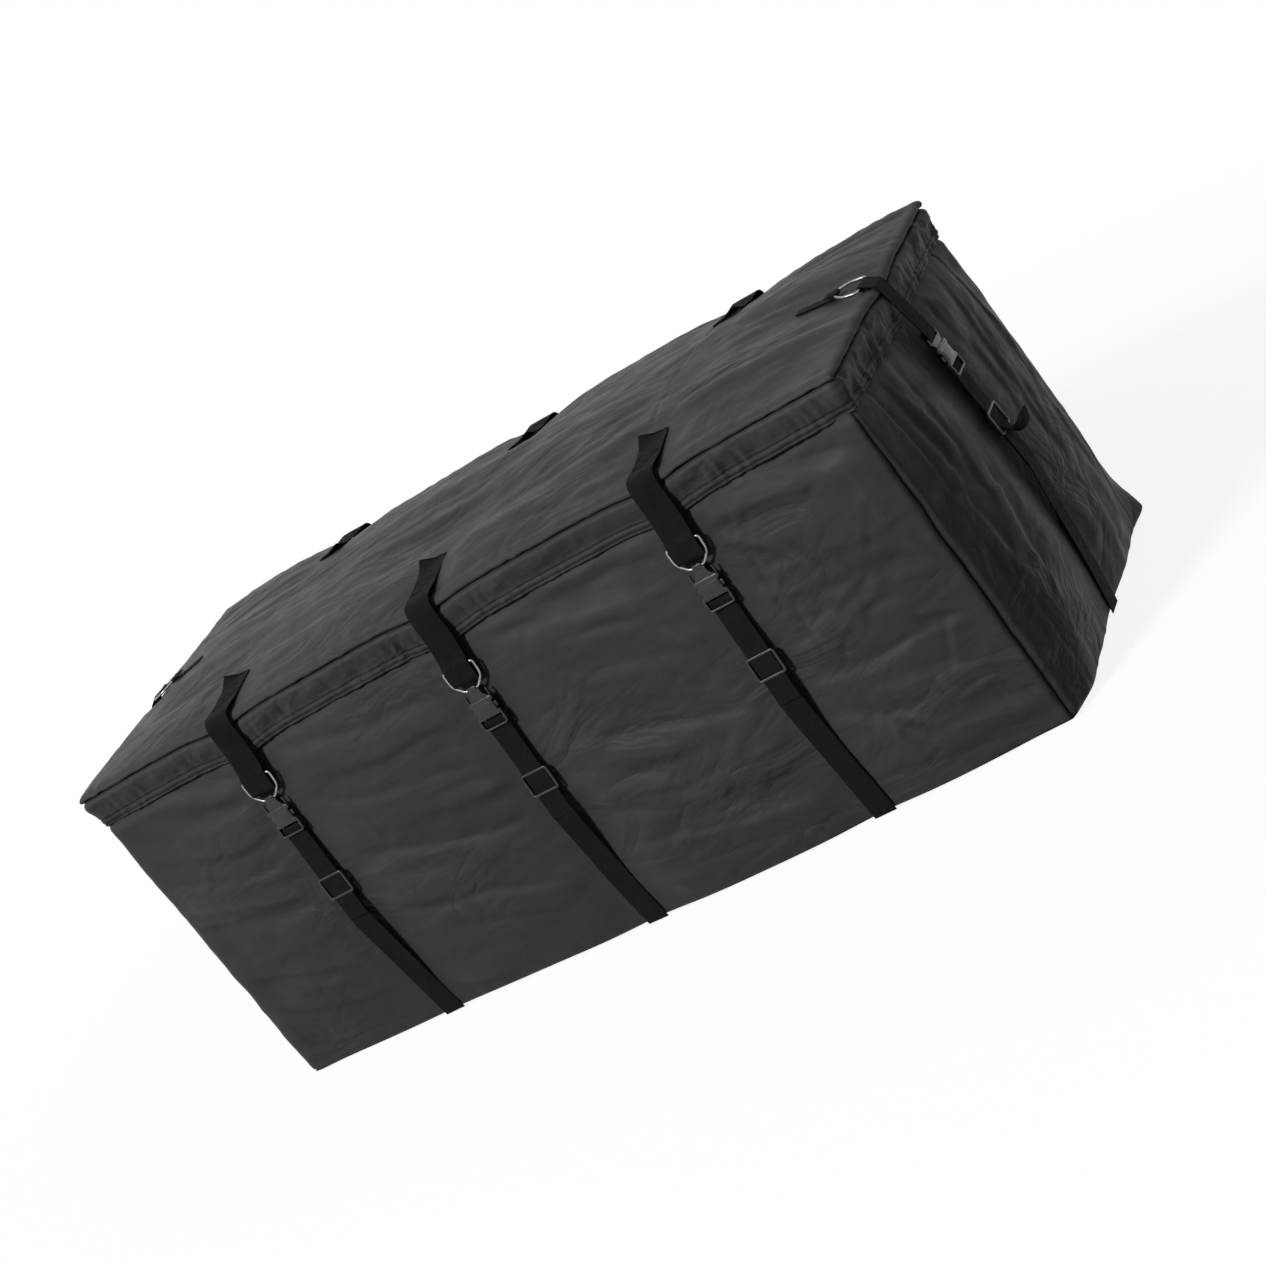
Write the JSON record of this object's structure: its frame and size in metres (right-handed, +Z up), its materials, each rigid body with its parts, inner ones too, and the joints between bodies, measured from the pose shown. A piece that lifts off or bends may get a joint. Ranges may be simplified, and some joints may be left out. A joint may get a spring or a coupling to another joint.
{
  "type": "roof cargo bag",
  "caption": "Soft weatherproof cargo bag for a roof rack or carrier: stuffed cloth box with a zipped lid under a storm flap, held shut by webbing straps with side-release buckles.",
  "frame": {"origin": "middle of the base panel's underside, on the surface that the bag stands on", "axes": "+X along the length to the right end, +Y to the back, +Z up through the lid"},
  "size_m": [1.5741, 0.6981, 0.6418],
  "materials": {
    "cloth": "semi-matte coated woven polyester, creased",
    "webbing": "matte woven polypropylene webbing",
    "zip": "matte woven zip tape with coil teeth",
    "plastic": "satin moulded acetal",
    "steel": "satin plated wire"
  },
  "bodies": {
    "bag": {"front_panel": "cloth", "back_panel": "cloth", "left_end_panel": "cloth", "right_end_panel": "cloth", "lid_panel": "cloth", "base_panel": "cloth", "storm_flap": "cloth", "zip_lower_tape": "zip", "front_left_top_strap": "webbing", "front_left_side_strap": "webbing", "front_left_ring": "steel", "front_left_buckle_plug": "plastic", "front_left_buckle_socket": "plastic", "front_middle_top_strap": "webbing", "front_middle_side_strap": "webbing", "front_middle_ring": "steel", "front_middle_buckle_plug": "plastic", "front_middle_buckle_socket": "plastic", "front_right_top_strap": "webbing", "front_right_side_strap": "webbing", "front_right_ring": "steel", "front_right_buckle_plug": "plastic", "front_right_buckle_socket": "plastic", "back_left_top_strap": "webbing", "back_left_side_strap": "webbing", "back_left_ring": "steel", "back_left_buckle_plug": "plastic", "back_left_buckle_socket": "plastic", "back_middle_top_strap": "webbing", "back_middle_side_strap": "webbing", "back_middle_ring": "steel", "back_middle_buckle_plug": "plastic", "back_middle_buckle_socket": "plastic", "back_right_top_strap": "webbing", "back_right_side_strap": "webbing", "back_right_ring": "steel", "back_right_buckle_plug": "plastic", "back_right_buckle_socket": "plastic", "left_end_lid_tab": "webbing", "left_end_link_strap": "webbing", "left_end_side_strap": "webbing", "left_end_ring": "steel", "left_end_buckle_plug": "plastic", "left_end_buckle_socket": "plastic", "right_end_lid_tab": "webbing", "right_end_link_strap": "webbing", "right_end_side_strap": "webbing", "right_end_ring": "steel", "right_end_buckle_plug": "plastic", "right_end_buckle_socket": "plastic"},
    "front_left_slider": {"front_left_strap_slider": "plastic"},
    "front_middle_slider": {"front_middle_strap_slider": "plastic"},
    "front_right_slider": {"front_right_strap_slider": "plastic"},
    "back_left_slider": {"back_left_strap_slider": "plastic"},
    "back_middle_slider": {"back_middle_strap_slider": "plastic"},
    "back_right_slider": {"back_right_strap_slider": "plastic"},
    "left_end_slider": {"left_end_strap_slider": "plastic"},
    "right_end_slider": {"right_end_strap_slider": "plastic"},
    "zip_runner": {"zip_slider": "steel"},
    "zip_pull_tab": {"zip_pull": "steel"}
  },
  "joints": [
    {"name": "front_left_slide", "type": "slide", "parent": "bag", "child": "front_left_slider", "axis": [0, 0.0698, 0.9976], "range_m": [-0.038, 0.074]},
    {"name": "front_middle_slide", "type": "slide", "parent": "bag", "child": "front_middle_slider", "axis": [0, 0.0772, 0.997], "range_m": [-0.038, 0.074]},
    {"name": "front_right_slide", "type": "slide", "parent": "bag", "child": "front_right_slider", "axis": [0, 0.0857, 0.9963], "range_m": [-0.038, 0.074]},
    {"name": "back_left_slide", "type": "slide", "parent": "bag", "child": "back_left_slider", "axis": [0, -0.0698, 0.9976], "range_m": [-0.038, 0.074]},
    {"name": "back_middle_slide", "type": "slide", "parent": "bag", "child": "back_middle_slider", "axis": [0, -0.0772, 0.997], "range_m": [-0.038, 0.074]},
    {"name": "back_right_slide", "type": "slide", "parent": "bag", "child": "back_right_slider", "axis": [0, -0.0857, 0.9963], "range_m": [-0.038, 0.074]},
    {"name": "left_end_slide", "type": "slide", "parent": "bag", "child": "left_end_slider", "axis": [0.0845, 0, 0.9964], "range_m": [-0.054, 0.058]},
    {"name": "right_end_slide", "type": "slide", "parent": "bag", "child": "right_end_slider", "axis": [-0.0802, 0, 0.9968], "range_m": [-0.054, 0.058]},
    {"name": "zip_run", "type": "slide", "parent": "bag", "child": "zip_runner", "axis": [1, 0, 0], "range_m": [0, 0.18]},
    {"name": "zip_pull_swing", "type": "hinge", "parent": "zip_runner", "child": "zip_pull_tab", "pos_m": [0.125, -0.299, 0.591], "axis": [0, 1, 0], "range_deg": [-45, 45]}
  ]
}
